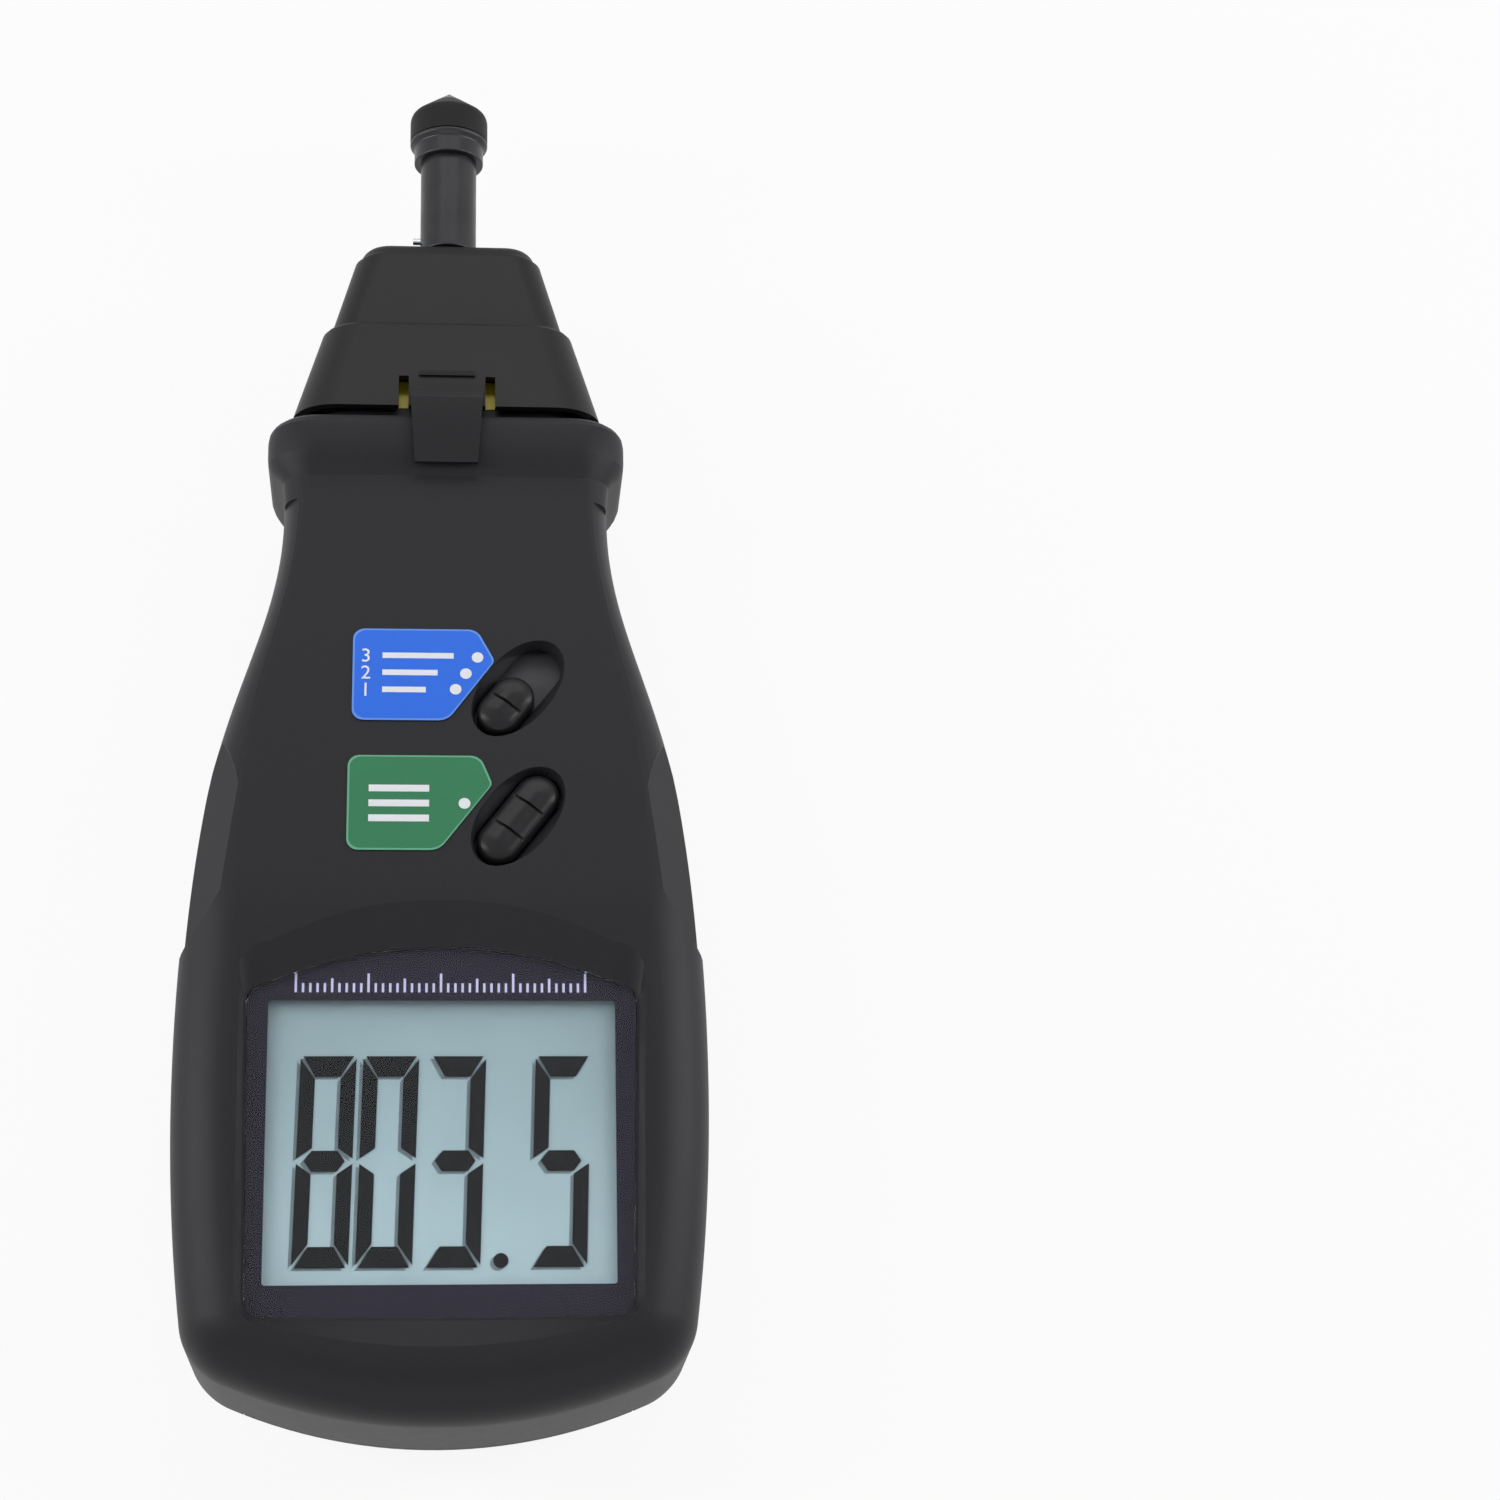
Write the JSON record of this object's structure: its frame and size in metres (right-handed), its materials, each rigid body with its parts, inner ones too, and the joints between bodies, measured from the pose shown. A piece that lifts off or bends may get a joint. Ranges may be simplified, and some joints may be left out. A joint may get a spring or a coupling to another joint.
{
  "type": "contact tachometer",
  "caption": "Hand-held digital tachometer with a display, slide switch, memory and side buttons, battery cover and a clip-on contact adapter with a spinning rubber tip.",
  "frame": {"origin": "middle of the footprint on the surface that the meter's back lies on", "axes": "+Z out of the display, +Y along the meter towards the contact tip, +X to the right seen from the display side"},
  "size_m": [0.072, 0.2024, 0.037],
  "materials": {
    "shell_plastic": "fine matte texture",
    "hood_plastic": "satin",
    "key_plastic": "satin",
    "frame_plastic": "satin",
    "clear_lens": "polished",
    "border_print": "printed",
    "display_glass": "satin",
    "display_ink": "satin",
    "contact_rubber": "satin",
    "board_laminate": "solder mask",
    "switch_plastic": "moulded",
    "plunger_plastic": "moulded",
    "blue_print": "printed",
    "green_print": "printed",
    "yellow_print": "printed",
    "gold_sticker": "foil paper",
    "white_sticker": "paper",
    "cell_wrap": "film",
    "contact_nickel": "plated",
    "screw_steel": "plated",
    "window_plastic": "polished",
    "red_epoxy": "moulded",
    "dark_epoxy": "moulded",
    "ribbon_film": "film",
    "bearing_steel": "ground",
    "spindle_steel": "ground",
    "disc_foil": "striped",
    "black_metal": "blackened",
    "tip_rubber": "satin",
    "point_steel": "blackened"
  },
  "bodies": {
    "housing": {"front_shell": "shell_plastic", "rear_shell": "shell_plastic", "display_lens": "clear_lens", "lens_border": "border_print", "lcd_panel": "display_glass", "lcd_segments": "display_ink", "lcd_frame": "frame_plastic", "contact_strips": "contact_rubber", "main_board": "board_laminate", "mode_switch": "switch_plastic", "memory_switch": "switch_plastic", "measure_switch": "switch_plastic", "mode_label": "blue_print", "memory_label": "green_print", "nose_label": "yellow_print", "oval_sticker": "gold_sticker", "plain_sticker": "white_sticker", "cell_1": "cell_wrap", "cell_2": "cell_wrap", "cell_3": "cell_wrap", "cell_4": "cell_wrap", "contact_springs": "contact_nickel", "contact_plates": "contact_nickel", "case_screws": "screw_steel", "board_screws": "screw_steel", "processor": "switch_plastic", "sensor_window": "window_plastic", "sensor_board": "board_laminate", "light_emitter": "red_epoxy", "light_detector": "dark_epoxy", "sensor_cable": "ribbon_film"},
    "mode_slider": {"mode_knob": "key_plastic", "mode_lever": "key_plastic"},
    "memory_key": {"memory_button": "key_plastic", "memory_plunger": "plunger_plastic"},
    "measure_key": {"measure_button": "key_plastic", "measure_plunger": "plunger_plastic"},
    "cover": {"battery_cover": "shell_plastic"},
    "adapter": {"adapter_hood": "hood_plastic", "bearing_outer": "bearing_steel", "bearing_inner": "bearing_steel", "bearing_spacer": "bearing_steel"},
    "drive": {"retaining_ring": "bearing_steel", "spindle": "spindle_steel", "reflective_disc": "disc_foil", "extension_tube": "black_metal", "drive_pin": "spindle_steel", "tip_holder": "black_metal", "rubber_tip": "tip_rubber", "steel_point": "point_steel"}
  },
  "joints": [
    {"name": "mode_slide", "type": "slide", "parent": "housing", "child": "mode_slider", "axis": [0.6018, 0.7952, -0.0741], "range_m": [0, 0.0056]},
    {"name": "memory_press", "type": "slide", "parent": "housing", "child": "memory_key", "axis": [0, -0.0928, -0.9957], "range_m": [0, 0.0008], "stiffness_N_per_m": 400, "springref_m": -0.0005},
    {"name": "measure_press", "type": "slide", "parent": "housing", "child": "measure_key", "axis": [-0.9596, -0.2813, 0], "range_m": [0, 0.001], "stiffness_N_per_m": 400, "springref_m": -0.0005},
    {"name": "cover_slide", "type": "slide", "parent": "housing", "child": "cover", "axis": [0, -1, 0], "range_m": [0, 0.02]},
    {"name": "adapter_pull", "type": "slide", "parent": "housing", "child": "adapter", "axis": [0, 1, 0], "range_m": [0, 0.03]},
    {"name": "tip_spin", "type": "hinge", "parent": "adapter", "child": "drive", "pos_m": [0, 0.07601, 0.0185], "axis": [0, 1, 0], "continuous": true}
  ]
}
